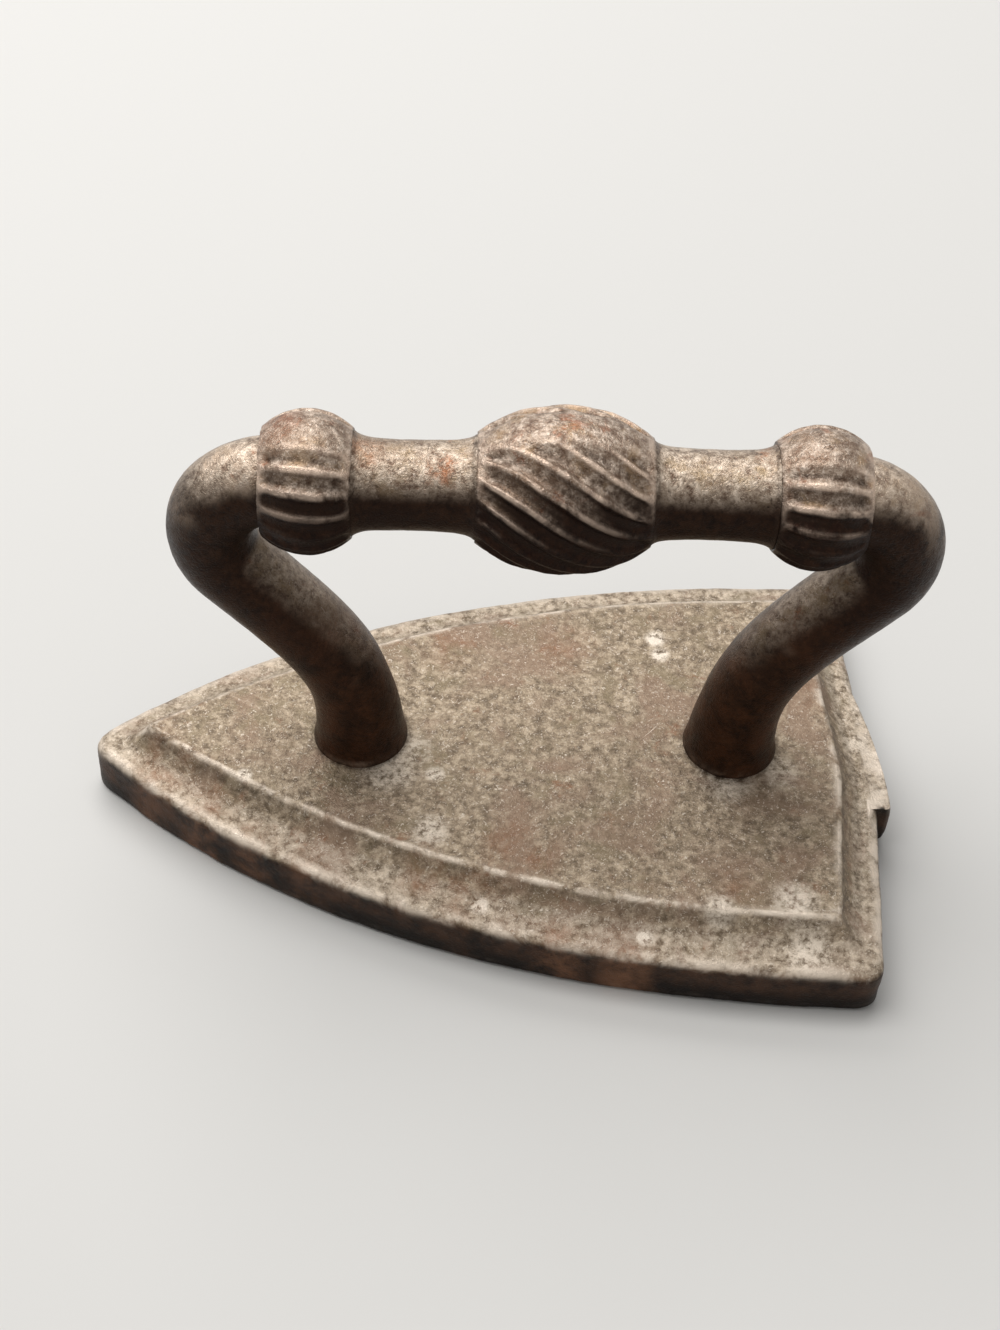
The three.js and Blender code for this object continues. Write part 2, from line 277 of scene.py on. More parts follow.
def knop_tree() -> ShapeTree:
    """Bored, fluted knop: a grid wrapped round the bar, swelling to a ball, with flutes along its columns.

    Returns:
        The tree.
    """
    sizes = ("Radius", "End Radius", "Bore Radius", "Half Length", "Flute Depth", "Flute Twist", "Run Out")
    inputs = dict.fromkeys((*sizes, "Plain From", "Fluted From", "Middle", "Height"), "NodeSocketFloat")
    inputs |= dict.fromkeys(("Flutes", "Columns", "Rows"), "NodeSocketInt")
    shape = ShapeTree("fluted_knop", inputs)
    ins, add = shape.ins, shape.add
    columns = add("ShaderNodeMath", {"operation": "ADD"}, {0: ins["Columns"], 1: 1.0}).outputs[0]
    counts = {"Size X": 1.0, "Size Y": 1.0, "Vertices X": columns, "Vertices Y": ins["Rows"]}
    grid = add("GeometryNodeMeshGrid", None, counts)
    place = add("ShaderNodeSeparateXYZ", None, {0: add("GeometryNodeInputPosition").outputs[0]}).outputs
    known = {**{name: ins[name] for name in inputs}, "across": place[0], "along": place[1]}

    # Each row names a value, what is done and to what: five values make a Map Range, fewer a Math node.
    for name, work, *sources in (
        # Along the section: bore to one end, out over the end face, over the ball, and back into the bore.
        ("from middle", "ABSOLUTE", "along"),
        ("station", "LINEAR", "along", -0.38, 0.38, -1.0, 1.0),
        ("inside", "LINEAR", "from middle", 0.47, 0.5, 1.0, 0.0),
        ("outside", "LINEAR", "from middle", 0.38, 0.47, 1.0, 0.0),
        ("over", "MULTIPLY", "station", "Half Length"),
        ("x", "MULTIPLY", "over", "inside"),
        # The ball's radius at that station falls from its middle to its ends along an ellipse.
        ("end share", "DIVIDE", "End Radius", "Radius"),
        ("end square", "MULTIPLY", "end share", "end share"),
        ("drop", "SUBTRACT", 1.0, "end square"),
        ("station square", "MULTIPLY", "station", "station"),
        ("fall", "MULTIPLY", "station square", "drop"),
        ("left", "SUBTRACT", 1.0, "fall"),
        ("share", "SQRT", "left"),
        ("ball", "MULTIPLY", "share", "Radius"),
        # Columns turn with the flutes, so each flute keeps to its own; in the bore they turn back and meet.
        ("turn", "MULTIPLY", "across", 2 * math.pi),
        ("twist", "MULTIPLY", "x", "Flute Twist"),
        ("angle", "ADD", "turn", "twist"),
        ("cosine", "COSINE", "angle"),
        ("sine", "SINE", "angle"),
        # Wide hollows between narrow rounded ridges, run out at the ends and plain along top and bottom.
        ("half flutes", "MULTIPLY", "Flutes", 0.5),
        ("phase", "MULTIPLY", "turn", "half flutes"),
        ("wave", "COSINE", "phase"),
        ("from ridge", "ABSOLUTE", "wave"),
        ("scallop", "SMOOTHSTEP", "from ridge", 0.22, 1.0, 0.0, 1.0),
        ("steep", "ABSOLUTE", "sine"),
        ("sides", "SMOOTHSTEP", "steep", "Fluted From", "Plain From", 1.0, 0.0),
        ("reach", "ABSOLUTE", "over"),
        ("to end", "SUBTRACT", "Half Length", "reach"),
        ("ends", "SMOOTHSTEP", "to end", 0.0, "Run Out", 0.0, 1.0),
        ("strong", "MULTIPLY", "sides", "ends"),
        ("deep", "MULTIPLY", "strong", "Flute Depth"),
        ("hollow", "MULTIPLY", "deep", "scallop"),
        ("cut", "SUBTRACT", "ball", "hollow"),
        ("radius", "LINEAR", "outside", 0.0, 1.0, "Bore Radius", "cut"),
        ("y", "MULTIPLY", "radius", "cosine"),
        ("z", "MULTIPLY_ADD", "radius", "sine", "Height"),
        ("shifted", "ADD", "x", "Middle"),
    ):
        ranged = len(sources) == 5
        kind = "ShaderNodeMapRange" if ranged else "ShaderNodeMath"
        settings = {"interpolation_type" if ranged else "operation": work}
        values = {socket: known.get(source, source) for socket, source in enumerate(sources)}
        known[name] = add(kind, settings, values).outputs[0]
    spot = add("ShaderNodeCombineXYZ", None, {0: known["shifted"], 1: known["y"], 2: known["z"]})
    wrapped = add("GeometryNodeSetPosition", None, {"Geometry": grid.outputs[0], "Position": spot.outputs[0]})
    joined = add("GeometryNodeMergeByDistance", None, {"Geometry": wrapped.outputs[0], "Distance": 1e-6})
    shape.close(joined.outputs[0])
    return shape


def skin_tree() -> ShapeTree:
    """Cast skin: broad and fine unevenness that only sinks the surface, so that the piece keeps its size.

    Returns:
        The tree.
    """
    names = ("Broad Size", "Broad Depth", "Fine Size", "Fine Depth", "Still Below", "Seed")
    shape = ShapeTree("cast_skin", dict.fromkeys(names, "NodeSocketFloat"))
    ins, add = shape.ins, shape.add
    sunk = None
    for size, depth in (("Broad Size", "Broad Depth"), ("Fine Size", "Fine Depth")):
        scale = add("ShaderNodeMath", {"operation": "DIVIDE"}, {0: 1.0, 1: ins[size]}).outputs[0]
        noise = add(
            "ShaderNodeTexNoise",
            {"noise_dimensions": "4D"},
            {"W": ins["Seed"], "Scale": scale, "Detail": 2.0, "Roughness": 0.5},
        ).outputs[0]
        spread = add("ShaderNodeMapRange", None, {0: noise, 1: 0.25, 2: 0.75, 3: 0.0, 4: -1.0}).outputs[0]
        amount = {0: spread, 1: ins[depth], 2: 0.0 if sunk is None else sunk}
        sunk = add("ShaderNodeMath", {"operation": "MULTIPLY_ADD"}, amount).outputs[0]
    height = add("ShaderNodeSeparateXYZ", None, {0: add("GeometryNodeInputPosition").outputs[0]}).outputs[2]
    floor = {0: height, 1: ins["Still Below"]}
    above = add("ShaderNodeMath", {"operation": "GREATER_THAN"}, floor).outputs[0]
    depth = add("ShaderNodeMath", {"operation": "MULTIPLY"}, {0: sunk, 1: above}).outputs[0]
    normal = add("GeometryNodeInputNormal").outputs[0]
    inward = {"Vector": normal, "Scale": depth}
    offset = add("ShaderNodeVectorMath", {"operation": "SCALE"}, inward).outputs[0]
    moved = add("GeometryNodeSetPosition", None, {"Geometry": ins["Geometry"], "Offset": offset})
    shape.close(moved.outputs[0])
    return shape


# Finishes


@dataclass(frozen=True)
class AgedIron:
    """Cast iron, tumbled bare and left to age: mottled oxide, rust, dirt and painted shade in hollows, pale
    edges.

    It gives the eye a dull satin metal, taupe to brown-black, whose crests and rims are worn pale, with
    painted highlight where they face up, and whose undersides and walls are darkened by painted shade.
    """

    name: str
    shade: str
    body: str
    bloom: str
    warm: str
    olive: str
    rust: str
    fleck: str
    # Dark of the pits, and of the dirt and painted shade in hollows and joints.
    soot_and_shade: str
    # Colour that painted shade on undersides and walls darkens towards.
    under: str
    # Pale of worn crests and of painted highlight.
    rubbed_and_highlight: str
    metallic: float
    rough_low: float
    rough_high: float
    # Where painted shade is full, and where it starts, by how far the surface faces up.
    shaded_below: float
    unshaded_above: float
    specular: float
    mottle_mm: float = 1.0
    cloud_mm: float = 4.0
    patch_mm: float = 11.0
    rust_mm: float = 4.5
    # Casting grit is near 0.2 mm; drawn coarser, so that it shows in the render.
    grit_mm: float = 0.42
    rust_from: float = 0.57
    rust_to: float = 0.72
    rub_and_highlight_strength: float = 0.75
    grime_and_shade_strength: float = 0.9
    pit_depth: float = 0.10
    pit_strength: float = 0.6
    fleck_strength: float = 0.55
    rub_and_highlight_gloss: float = 0.10
    relief: float = 0.9

    def material(self) -> bpy.types.Material:
        """Builds the finish as a node material.

        Returns:
            The material.
        """
        made = bpy.data.materials.new(self.name)
        made.use_nodes = True
        tree = made.node_tree
        add = partial(add_node, tree)
        shader = next(n for n in tree.nodes if n.bl_idname == "ShaderNodeBsdfPrincipled")
        where = add("ShaderNodeTexCoord").outputs["Object"]
        noise = {}
        for key, size, detail, coarse, bend in (
            ("mottle", self.mottle_mm, 5.0, 0.72, 0.0),
            ("cloud", self.cloud_mm, 5.0, 0.65, 0.4),
            ("patch", self.patch_mm, 4.0, 0.6, 0.8),
            ("rust", self.rust_mm, 7.0, 0.72, 0.3),
            ("grit", self.grit_mm, 2.0, 0.6, 1.6),
        ):
            grain = {"Vector": where, "Scale": 1 / (size * MM), "Detail": detail, "Roughness": coarse}
            noise[key] = add("ShaderNodeTexNoise", None, {**grain, "Distortion": bend}).outputs[0]
        mark = {key: add("ShaderNodeAttribute", {"attribute_name": key.value}).outputs["Fac"] for key in Mark}

        # Mottled oxide from dark to pale.
        ramp = add("ShaderNodeValToRGB", None, {0: noise["mottle"]})
        stops = ramp.color_ramp.elements
        stops[0].position, stops[1].position = 0.36, 0.64
        stops[0].color, stops[1].color = linear(self.shade), linear(self.bloom)
        stops.new(0.5).color = linear(self.body)
        colour = ramp.outputs[0]

        # Layers over it in turn: each eases in from its source's first value to its strength at the second,
        # and some keep to the places that the piece is marked with.
        for place, source, low, high, strength, blend, code in (
            (None, noise["cloud"], 0.50, 0.68, 0.75, "MIX", self.olive),
            (None, noise["patch"], 0.47, 0.66, 0.65, "MIX", self.warm),
            (None, noise["rust"], self.rust_from, self.rust_to, 0.8, "MIX", self.rust),
            (None, noise["grit"], 0.56, 0.74, self.fleck_strength, "MIX", self.fleck),
            (None, noise["grit"], 0.42, 0.27, self.pit_strength, "MIX", self.soot_and_shade),
            (Mark.DUST, noise["mottle"], 0.34, 0.62, 1.0, "MIX", self.fleck),
            # Painted shade: darkened towards the underside colour where the surface faces down or sideways,
            # so walls and undersides look shaded.
            (None, mark[Mark.UPWARD], self.unshaded_above, self.shaded_below, 1.0, "MULTIPLY", self.under),
            (Mark.STAIN, noise["rust"], 0.34, 0.68, 0.75, "MIX", self.rust),
            # Dirt and painted shade: dark in hollows and where pieces meet.
            (Mark.GRIME, noise["mottle"], 0.85, 0.30, self.grime_and_shade_strength, "MIX", self.soot_and_shade),
            # Pale crests and rims: partly worn, partly painted highlight where they face up.
            (Mark.RUB, noise["cloud"], 0.38, 0.60, self.rub_and_highlight_strength, "MIX", self.rubbed_and_highlight),
        ):
            span = {0: source, 1: low, 2: high, 4: strength}
            shown = add("ShaderNodeMapRange", {"interpolation_type": "SMOOTHSTEP"}, span).outputs[0]
            if place:
                both = {0: shown, 1: mark[place]}
                shown = add("ShaderNodeMath", {"operation": "MULTIPLY"}, both).outputs[0]
            mix = {"Factor_Float": shown, "A_Color": colour, "B_Color": linear(code)}
            colour = add("ShaderNodeMix", {"data_type": "RGBA", "blend_type": blend}, mix).outputs[2]
        tree.links.new(colour, shader.inputs["Base Color"])

        # Oxide is duller where it is thick, and the last layer, worn pale crests with painted highlight, is
        # smoother.
        spans = {0: noise["mottle"], 1: 0.3, 2: 0.7, 3: self.rough_low, 4: self.rough_high}
        dull = add("ShaderNodeMapRange", None, spans).outputs[0]
        worn = {0: shown, 1: -self.rub_and_highlight_gloss, 2: dull}
        sheen = add("ShaderNodeMath", {"operation": "MULTIPLY_ADD"}, worn).outputs[0]
        tree.links.new(sheen, shader.inputs["Roughness"])
        shader.inputs["Metallic"].default_value = self.metallic
        shader.inputs["Specular IOR Level"].default_value = self.specular

        # Pits and grit of the mould's sand.
        grains = {0: noise["mottle"], 1: noise["grit"]}
        sand = add("ShaderNodeMath", {"operation": "ADD"}, grains).outputs[0]
        relief = {"Strength": self.relief, "Distance": self.pit_depth * MM, "Height": sand}
        bump = add("ShaderNodeBump", None, relief)
        tree.links.new(bump.outputs[0], shader.inputs["Normal"])
        return made


@dataclass(frozen=True)
class FloorCard:
    """Matt pale card: even, without sheen, so that it only carries the shadow."""

    name: str = "pale_matt_card"
    colour: str = "#e4e2de"
    roughness: float = 0.9
    # Paper fibre is near 0.1 mm; drawn coarser and very faint, so that it shows at all.
    fibre_mm: float = 2.0
    fibre_depth: float = 0.05
    fibre_relief: float = 0.03

    def material(self) -> bpy.types.Material:
        """Builds the card as a node material.

        Returns:
            The material.
        """
        made = bpy.data.materials.new(self.name)
        made.use_nodes = True
        tree = made.node_tree
        add = partial(add_node, tree)
        shader = next(n for n in tree.nodes if n.bl_idname == "ShaderNodeBsdfPrincipled")
        where = add("ShaderNodeTexCoord").outputs["Object"]
        fibres = {"Vector": where, "Scale": 1 / (self.fibre_mm * MM), "Detail": 3.0}
        fibre = add("ShaderNodeTexNoise", None, fibres).outputs[0]
        bump = {"Strength": self.fibre_relief, "Distance": self.fibre_depth * MM, "Height": fibre}
        tree.links.new(add("ShaderNodeBump", None, bump).outputs[0], shader.inputs["Normal"])
        shader.inputs["Base Color"].default_value = linear(self.colour)
        shader.inputs["Roughness"].default_value = self.roughness
        return made


PLATE_FINISH = AgedIron(
    name="aged_cast_iron_plate",
    shade="#665746",
    body="#92816c",
    bloom="#c0ae97",
    warm="#8f7663",
    olive="#85765d",
    rust="#875f45",
    fleck="#e6d9c9",
    soot_and_shade="#3a2d21",
    under="#2a1f16",
    rubbed_and_highlight="#e2d3c2",
    metallic=0.5,
    rough_low=0.42,
    rough_high=0.62,
    shaded_below=0.2,
    unshaded_above=0.75,
    rub_and_highlight_strength=0.95,
    specular=0.3,
    pit_strength=0.3,
    fleck_strength=0.7,
)
HANDLE_FINISH = AgedIron(
    name="aged_cast_iron_handle",
    shade="#715c4d",
    body="#ae9c8a",
    bloom="#dac9b7",
    warm="#88715d",
    olive="#9c8567",
    rust="#955c38",
    fleck="#dccdbe",
    soot_and_shade="#2a1d14",
    under="#3b291d",
    rubbed_and_highlight="#d8bfa9",
    metallic=0.7,
    rough_low=0.28,
    rough_high=0.48,
    shaded_below=0.28,
    unshaded_above=0.97,
    specular=0.25,
    pit_depth=0.14,
)
KNOP_FINISH = AgedIron(
    name="aged_cast_iron_knops",
    shade="#6a5344",
    body="#968373",
    bloom="#ccbaaa",
    warm="#826a57",
    olive="#977c5e",
    rust="#905636",
    fleck="#dccdc0",
    soot_and_shade="#251911",
    under="#3d2a1e",
    rubbed_and_highlight="#dfc7b4",
    metallic=0.7,
    rough_low=0.27,
    rough_high=0.47,
    shaded_below=0.32,
    unshaded_above=0.88,
    rub_and_highlight_strength=0.65,
    specular=0.25,
    pit_depth=0.13,
    grime_and_shade_strength=0.75,
    pit_strength=0.45,
)


# Pieces of the iron


@dataclass(frozen=True)
class Handle:
    """Sizes that the handle's pieces share."""

    foot_spacing: float = 43.2

    def middle(self) -> float:
        """Station of the handle's middle along X."""
        low, high = box_mm("centre_knop")
        return float(low[0] + high[0]) / 2

    def height(self) -> float:
        """Height of the grip's axis."""
        low, high = box_mm("grip_bar")
        return float(low[2] + high[2]) / 2

    def foot(self, end: End) -> float:
        """Station of a post's foot along X."""
        return self.middle() + end.value * self.foot_spacing / 2


@dataclass
class CastPiece:
    """What every piece has: the solid it stands for, its finish, and the wear, painted shade and painted
    highlight of its surface.
    """

    node: str
    slot: Slot
    finish: bpy.types.Material
    skin: ShapeTree
    seed: float
    broad_size: float = 6.0
    broad_depth: float = 0.10
    fine_size: float = 1.2
    fine_depth: float = 0.05
    # Pale crests facing up: partly wear, partly painted highlight.
    rub_and_highlight_from: float = 0.2
    rub_and_highlight_full: float = 0.7
    rub_and_highlight_width: int = 3
    rub_and_highlight_facing: tuple[float, float] = (-0.1, 0.7)
    # Dark hollows and joints: partly dirt, partly painted shade.
    grime_and_shade_from: float = 0.10
    grime_and_shade_full: float = 0.6
    joint_grime_and_shade: float = 0.7
    joint_dark_within: float = 0.15
    joint_bare: float = 0.2
    joint_reach: float = 0.6
    still_below: float = 0.02
    rust_blooms: tuple[tuple[float, float, float, float], ...] = ()
    pale_scars: tuple[tuple[float, float, float, float], ...] = ()

    def new_object(self, points: np.ndarray, edges: list, faces: list) -> bpy.types.Object:
        """Makes an object for the piece from points in millimetres.

        Args:
            points: rows of x, y, z.
            edges: pairs of point numbers.
            faces: tuples of point numbers.

        Returns:
            The new object, in the scene.
        """
        mesh = bpy.data.meshes.new(self.node + "_iron")
        mesh.from_pydata((np.asarray(points) * MM).tolist(), edges, faces)
        made = bpy.data.objects.new(self.node + "_iron", mesh)
        bpy.context.scene.collection.objects.link(made)
        return made

    def freeze(self, piece: bpy.types.Object) -> None:
        """Turns an object and its modifiers into a plain closed mesh with its faces outward.

        Args:
            piece: the object.
        """
        graph = bpy.context.evaluated_depsgraph_get()
        mesh = bpy.data.meshes.new_from_object(piece.evaluated_get(graph), depsgraph=graph)
        piece.modifiers.clear()
        piece.data = mesh
        form = bmesh.new()
        form.from_mesh(mesh)
        bmesh.ops.remove_doubles(form, verts=form.verts, dist=MERGE_DISTANCE)
        bmesh.ops.recalc_face_normals(form, faces=form.faces)
        form.to_mesh(mesh)
        form.free()

    def roughen(self, piece: bpy.types.Object) -> None:
        """Gives a plain mesh the uneven skin of a casting.

        Args:
            piece: the object.
        """
        values = {
            "Broad Size": self.broad_size * MM,
            "Broad Depth": self.broad_depth * MM,
            "Fine Size": self.fine_size * MM,
            "Fine Depth": self.fine_depth * MM,
            "Still Below": self.still_below * MM,
            "Seed": self.seed,
            "Material": self.finish,
        }
        self.skin.put_on(piece, values)
        self.freeze(piece)
        self.smooth(piece)

    def smooth(self, piece: bpy.types.Object) -> None:
        """Shades a piece smooth, up to its sharp edges."""
        piece.data.shade_smooth()
        piece.data.set_sharp_from_angle(angle=SHARP_ANGLE)

    def spots(self, points: np.ndarray, places: tuple[tuple[float, float, float, float], ...]) -> np.ndarray:
        """How strongly spots show at each point.

        Args:
            points: rows of x, y, z.
            places: for each spot its x and y, its radius and its strength.

        Returns:
            The strongest spot's strength at each point.
        """
        strength = np.zeros(len(points))
        for x, y, radius, top in places:
            far = np.hypot(points[:, 0] - x, points[:, 1] - y)
            strength = np.maximum(strength, top * (1 - ease(SPOT_CORE * radius, SPOT_EDGE * radius, far)))
        return strength

    def facing(self, points: np.ndarray, normals: np.ndarray) -> np.ndarray:
        """How far the surface faces up at each point, from -1, down, to 1, up."""
        return normals[:, 2]

    def stained(self, points: np.ndarray) -> np.ndarray:
        """How rusty each point is."""
        return self.spots(points, self.rust_blooms)

    def dusted(self, points: np.ndarray) -> np.ndarray:
        """How much pale scale lies at each point."""
        return self.spots(points, self.pale_scars)

    def age(self, piece: bpy.types.Object, neighbours: list[BVHTree]) -> None:
        """Writes the marks: pale crests, partly painted highlight, and dark hollows and joints, partly
        painted shade.

        Args:
            piece: the finished mesh.
            neighbours: the pieces that it is joined to.
        """
        mesh = piece.data
        count = len(mesh.vertices)
        points, normals = np.empty(count * 3), np.empty(count * 3)
        mesh.vertices.foreach_get("co", points)
        mesh.vertices.foreach_get("normal", normals)
        points, normals = points.reshape(-1, 3) / MM, normals.reshape(-1, 3)
        ends = np.empty(len(mesh.edges) * 2, int)
        mesh.edges.foreach_get("vertices", ends)
        first, second = ends.reshape(-1, 2).T
        step = points[second] - points[first]
        bend = ((normals[second] - normals[first]) * step).sum(1) / np.maximum((step**2).sum(1), 1e-6)
        degree = np.bincount(first, minlength=count) + np.bincount(second, minlength=count)
        curve = np.zeros(count)
        np.add.at(curve, first, bend)
        np.add.at(curve, second, bend)
        curve /= np.maximum(degree, 1)
        for _ in range(self.rub_and_highlight_width):
            spread = np.zeros(count)
            np.add.at(spread, first, curve[second])
            np.add.at(spread, second, curve[first])
            curve = 0.5 * curve + 0.5 * spread / np.maximum(degree, 1)
        # Hollows darken: partly dirt, partly painted shade.
        grime = ease(self.grime_and_shade_from, self.grime_and_shade_full, -curve)
        upward = self.facing(points, normals)
        # Crests facing up go pale: partly wear, partly painted highlight.
        rub = ease(self.rub_and_highlight_from, self.rub_and_highlight_full, curve) * ease(*self.rub_and_highlight_facing, upward)
        # Next to a joined piece the surface darkens, partly dirt and partly painted shade between the parts,
        # and loses its pale crest.
        for other in neighbours:
            near = [other.find_nearest(p, self.joint_reach * MM)[3] for p in (points * MM).tolist()]
            gap = np.array([self.joint_reach if d is None else d / MM for d in near])
            soot_and_shade = self.joint_grime_and_shade - self.joint_grime_and_shade * ease(self.joint_dark_within, self.joint_reach, gap)
            grime = np.maximum(grime, soot_and_shade)
            rub *= ease(self.joint_bare, self.joint_reach, gap)
        marks = {
            Mark.RUB: rub,
            Mark.GRIME: grime,
            Mark.UPWARD: upward,
            Mark.STAIN: self.stained(points),
            Mark.DUST: self.dusted(points),
        }
        for mark, values in marks.items():
            written = mesh.attributes.new(mark.value, "FLOAT", "POINT")
            written.data.foreach_set("value", values.astype(np.float32))

    def dress(self, piece: bpy.types.Object) -> None:
        """Sets the piece in the frame, in place of its solid.

        Args:
            piece: the finished object.
        """
        piece.data.materials.clear()
        piece.data.materials.append(self.finish)
        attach(piece, "root")
        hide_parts(self.node)


@dataclass
class SolePlate(CastPiece):
    """Cast plate: sole, wall, flange, cove, raised panel and the gate's stub at the heel."""

    broad_size: float = 7.0
    broad_depth: float = 0.24
    fine_size: float = 1.3
    fine_depth: float = 0.09
    # Pale along the panel's crest and the flange's rim: partly wear, partly painted highlight.
    rub_and_highlight_from: float = 0.07
    rub_and_highlight_full: float = 0.40
    rub_and_highlight_width: int = 7
    length: float = 90.2
    nose_half_angle: float = 40.5
    nose_round: float = 3.2
    heel_corner: float = 2.8
    heel_point: float = 2.0
    heel_point_offset: float = -4.5
    sole_round: float = 0.5
    flange_height: float = 6.3
    flange_round: float = 1.7
    flange_width: float = 5.6
    flange_heel: float = 4.5
    flange_nose: float = 6.2
    panel_half_angle: float = 36.0
    panel_nose_round: float = 0.8
    panel_corner: float = 0.8
    panel_round: float = 0.6
    roof: float = 0.5
    cove_run: float = 3.0
    cove_pull: float = 1.5
    cove_lift: float = 0.1
    flange_dust: float = 0.28
    dust_above: tuple[float, float] = (-0.7, -0.2)
    dust_below: tuple[float, float] = (0.6, 1.0)
    wall_rust: float = 0.36
    rust_above: tuple[float, float] = (1.2, 3.6)
    rust_edge: float = 1.0
    stub_near: float = 2.6
    stub_far: float = 19.0
    stub_root: float = 4.0
    stub_drop: float = 0.03
    stub_foot: float = 0.8
    stub_round: float = 0.8
    stub_edge: float = 0.55
    stub_blunt: float = 0.55
    stub_rings: int = 13
    hole_radius: float = 3.5
    hole_mouth: float = 4.925
    hole_sink: float = 1.9
    hole_sides: int = 64
    cutter_margin: float = 1.0
    spine_front: float = 6.0
    spine_rear: float = 26.0
    top_rings: int = 42
    sole_rings: int = 6

    def outline(
        self, nose: float, half_angle: float, nose_round: float, half_width: float, heel: float, corner: float
    ) -> np.ndarray:
        """Plan outline of the wall or the panel, in order round the iron.

        Args:
            nose: where the nose is along X.
            half_angle: half the nose's angle, in degrees.
            nose_round: how far back the nose's rounding reaches.
            half_width: half the width.
            heel: where the heel's corners are along X.
            corner: rounding of the heel's corners.

        Returns:
            Rows of x, y.
        """
        tip = nose - nose_round / 2
        slope = math.tan(math.radians(half_angle))
        side, bow = nose_round * slope, tip + half_width / slope
        inward = self.heel_point * corner / (half_width - abs(self.heel_point_offset))
        start, turn, rear = tip + nose_round, heel - corner, heel + inward
        return chain(
            (start, side),
            (22, (tip, 0), (start, -side)),
            (190, (bow, -half_width), (turn, -half_width)),
            (12, (heel, -half_width), (rear, corner - half_width)),
            (50, (heel + self.heel_point, self.heel_point_offset)),
            (66, (rear, half_width - corner)),
            (12, (heel, half_width), (turn, half_width)),
            (190, (bow, half_width), (start, side)),
            closed=True,
        )

    def section(self, top: float) -> np.ndarray:
        """Section of the plate's edge, from the sole up to the panel.

        Args:
            top: height of the panel.

        Returns:
            Rows of inset from the wall and height.
        """
        level, width = self.flange_height, self.flange_width
        cove_top, corner = top - self.panel_round, (width - self.cove_pull, level + self.cove_lift)
        lean = self.cove_pull / (cove_top - corner[1])
        crest = width + lean * self.panel_round
        return chain(
            (self.sole_round, 0),
            (4, (0, 0), (0, self.sole_round)),
            (10, (0, level - self.flange_round)),
            (8, (0, level), (self.flange_round, level)),
            (6, (width - self.cove_run, level)),
            (14, corner, (width, cove_top)),
            (7, (crest, top), (crest + self.panel_round, top)),
        )

    def body(self) -> bpy.types.Object:
        """The plate's closed body: its edge section carried round, and both faces filled in to a spine.

        Returns:
            The body.
        """
        low, high = box_mm(self.node)
        nose, half_width, top = low[0], high[1], high[2]
        heel = nose + self.length
        wall = self.outline(nose, self.nose_half_angle, self.nose_round, half_width, heel, self.heel_corner)
        panel = self.outline(
            nose + self.flange_nose,
            self.panel_half_angle,
            self.panel_nose_round,
            half_width - self.flange_width,
            heel - self.flange_heel,
            self.panel_corner,
        )
        front, rear = nose + self.flange_nose + self.spine_front, heel - self.spine_rear
        spine = np.column_stack([np.clip(wall[:, 0], front, rear), np.zeros(len(wall))])
        sole_rim = wall + (panel - wall) * (self.sole_round / self.flange_width)
        rings = []
        for share in np.linspace(1, 0, self.sole_rings, endpoint=False):
            rings.append(raised(sole_rim + (spine - sole_rim) * share, 0))
        for inset, height in self.section(top):
            rings.append(raised(wall + (panel - wall) * (inset / self.flange_width), height))
        rim = rings[-1][:, :2]
        for share in np.linspace(0, 1, self.top_rings + 1)[1:]:
            rings.append(raised(rim + (spine - rim) * share, top))
        faces = tube_faces(len(rings), len(wall), False)
        return self.new_object(self.roofed(np.concatenate(rings)), [], faces)

    def roofed(self, points: np.ndarray) -> np.ndarray:
        """Lifts the plate's top to a low ridge along the line where the mould's halves met.

        Args:
            points: rows of x, y, z.

        Returns:
            The lifted points; the sole stays flat.
        """
        high = box_mm(self.node)[1]
        ridge = self.heel_point_offset * ease(Handle().foot(End.REAR), high[0], points[:, 0])
        near = np.clip(1 - np.abs(points[:, 1] - ridge) / high[1], 0, 1)
        lift = self.roof * near * np.clip(points[:, 2] / self.flange_height, 0, 1)
        return points + np.column_stack([0 * lift, 0 * lift, lift])

    def stub(self) -> bpy.types.Object:
        """What is left of the gate at the heel: blunt on one side of the point, running out along the other.

        Returns:
            The stub.
        """
        low, high = box_mm(self.node)
        heel = low[0] + self.length
        root, reach = heel - self.stub_root, high[0]
        near, far = self.heel_point_offset - self.stub_near, self.heel_point_offset + self.stub_far
        line = chain(
            (root, near),
            (8, (reach - self.stub_round, near)),
            (8, (reach, near), (reach, near + self.stub_round)),
            (36, (reach, (near + far) / 2), (heel, far)),
            (6, (root, far)),
        )
        rings = []
        top = self.flange_height - self.stub_drop
        middle, half = (top + self.stub_foot) / 2, (top - self.stub_foot) / 2
        for turn in np.linspace(-math.pi / 2, math.pi / 2, self.stub_rings):
            share = math.copysign(abs(math.sin(turn)) ** self.stub_blunt, math.sin(turn))
            pull = self.stub_edge * (1 - math.cos(turn) ** 0.5)
            flat = np.column_stack([np.maximum(line[:, 0] - pull, root), line[:, 1]])
            rings.append(raised(flat, middle + half * share))
        faces = tube_faces(len(rings), len(line), True)
        return self.new_object(self.roofed(np.concatenate(rings)), [], faces)

    def dusted(self, points: np.ndarray) -> np.ndarray:
        """How much pale scale lies at each point: the scars, and a thin veil along the flange.

        Args:
            points: rows of x, y, z.

        Returns:
            Its strength at each point.
        """
        above = points[:, 2] - self.flange_height
        veil = self.flange_dust * ease(*self.dust_above, above) * (1 - ease(*self.dust_below, above))
        return np.maximum(super().dusted(points), veil)

    def stained(self, points: np.ndarray) -> np.ndarray:
        """How rusty each point is: the blooms, and a band along the top of the wall.

        Args:
            points: rows of x, y, z.

        Returns:
            Its strength at each point.
        """
        height = points[:, 2]
        edge = 1 - ease(self.flange_height - self.rust_edge, self.flange_height, height)
        return np.maximum(super().stained(points), self.wall_rust * ease(*self.rust_above, height) * edge)

